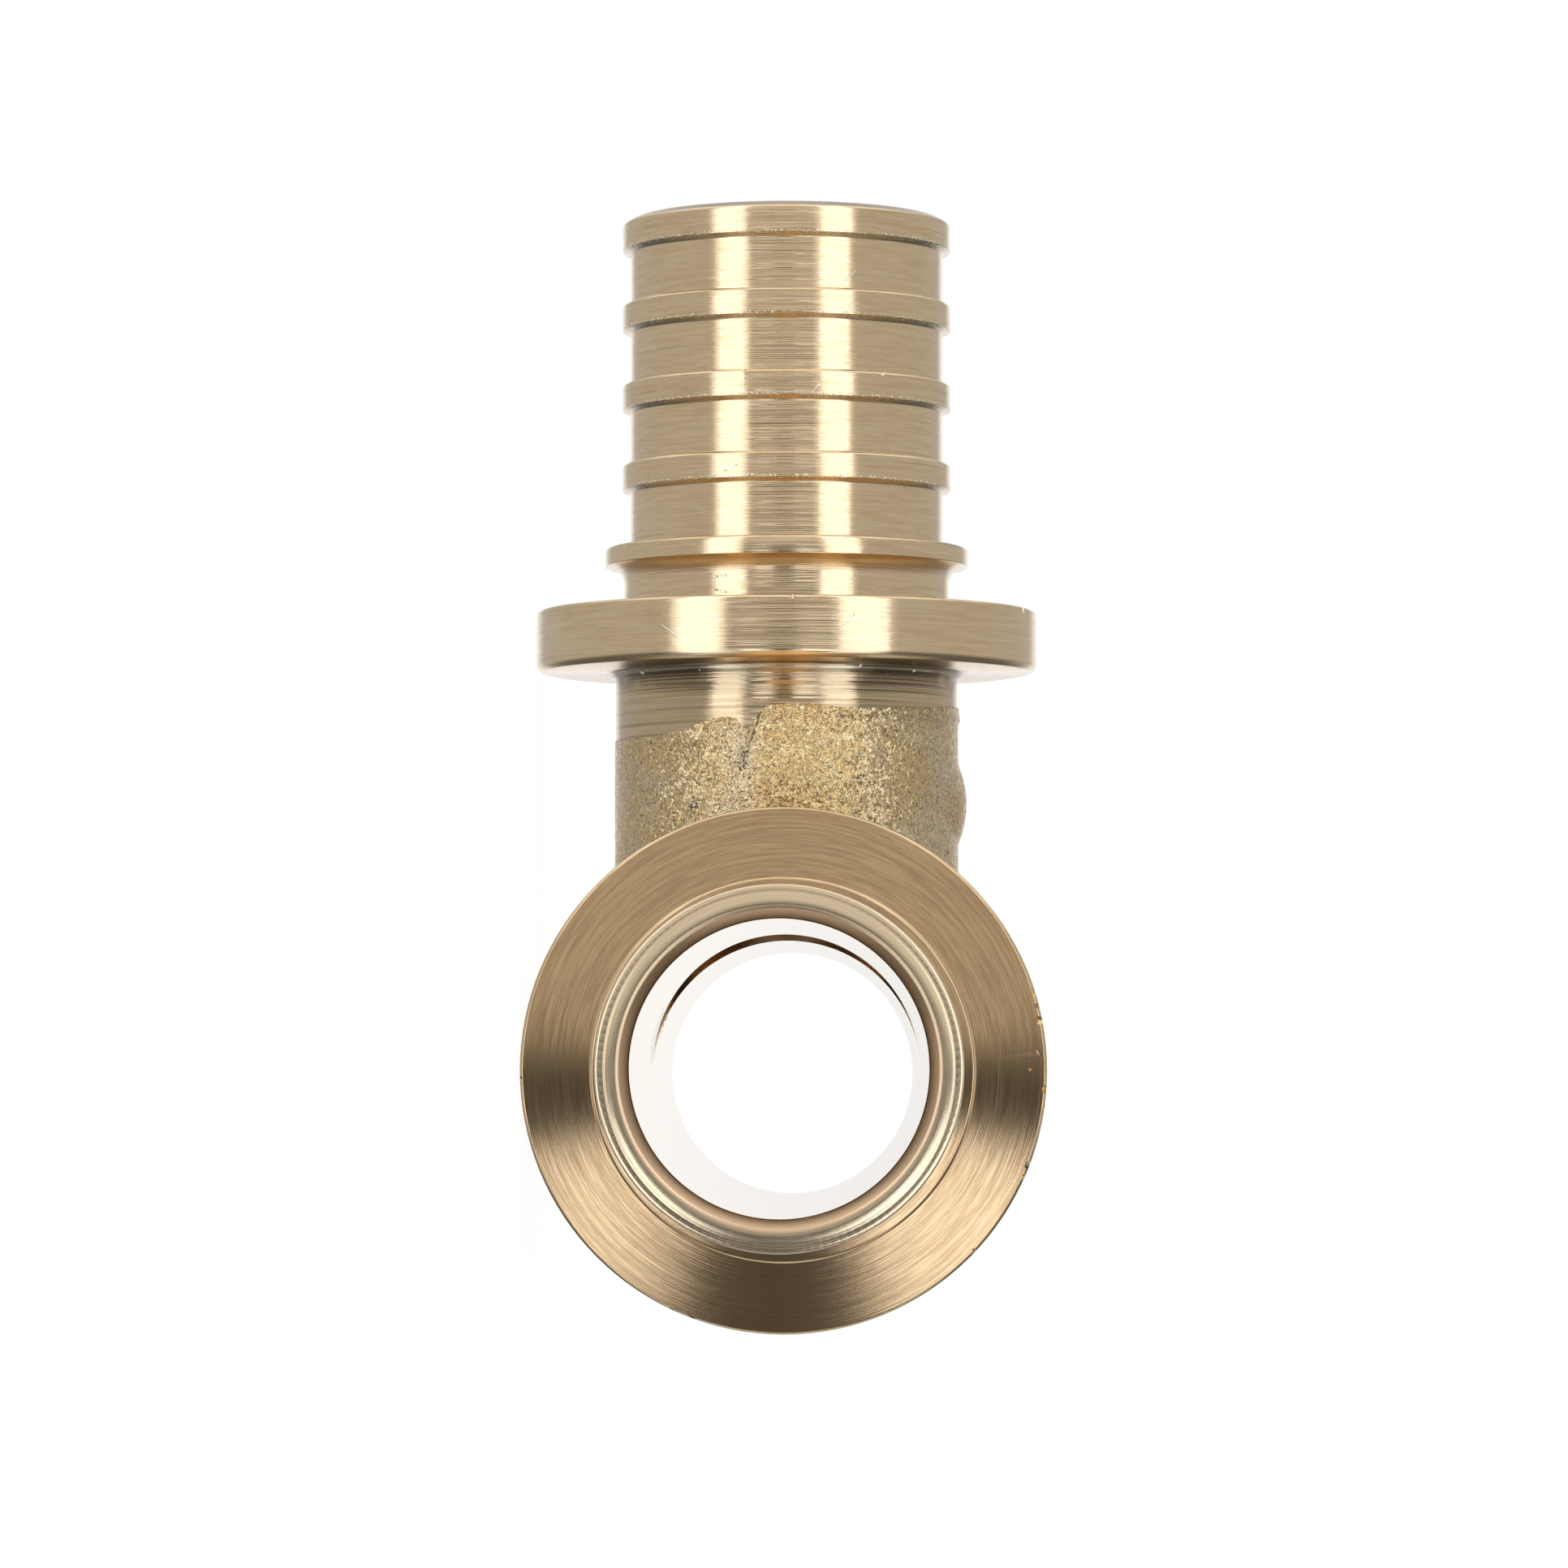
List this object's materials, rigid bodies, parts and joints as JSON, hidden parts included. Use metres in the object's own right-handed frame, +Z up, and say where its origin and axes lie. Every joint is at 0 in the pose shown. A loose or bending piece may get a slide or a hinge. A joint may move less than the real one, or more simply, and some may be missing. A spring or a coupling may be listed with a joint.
{
  "type": "axial press tee",
  "caption": "Brass pipe tee with ribbed spigots, retaining rings and round collars for slide-on sleeves, joined by a forged body with open bores.",
  "frame": {"origin": "where the axis of the run crosses the axis of the branch", "axes": "+X along the branch, out of its mouth; Y along the run; +Z up, with the tee lying on its collars and the round boss on top of the branch"},
  "size_m": [0.0604, 0.0794, 0.0274],
  "materials": {
    "brass": "turned on the spigots, collars and necks, fine-grained as forged on the body"
  },
  "bodies": {
    "root": {"tee_body": "brass"}
  },
  "joints": []
}
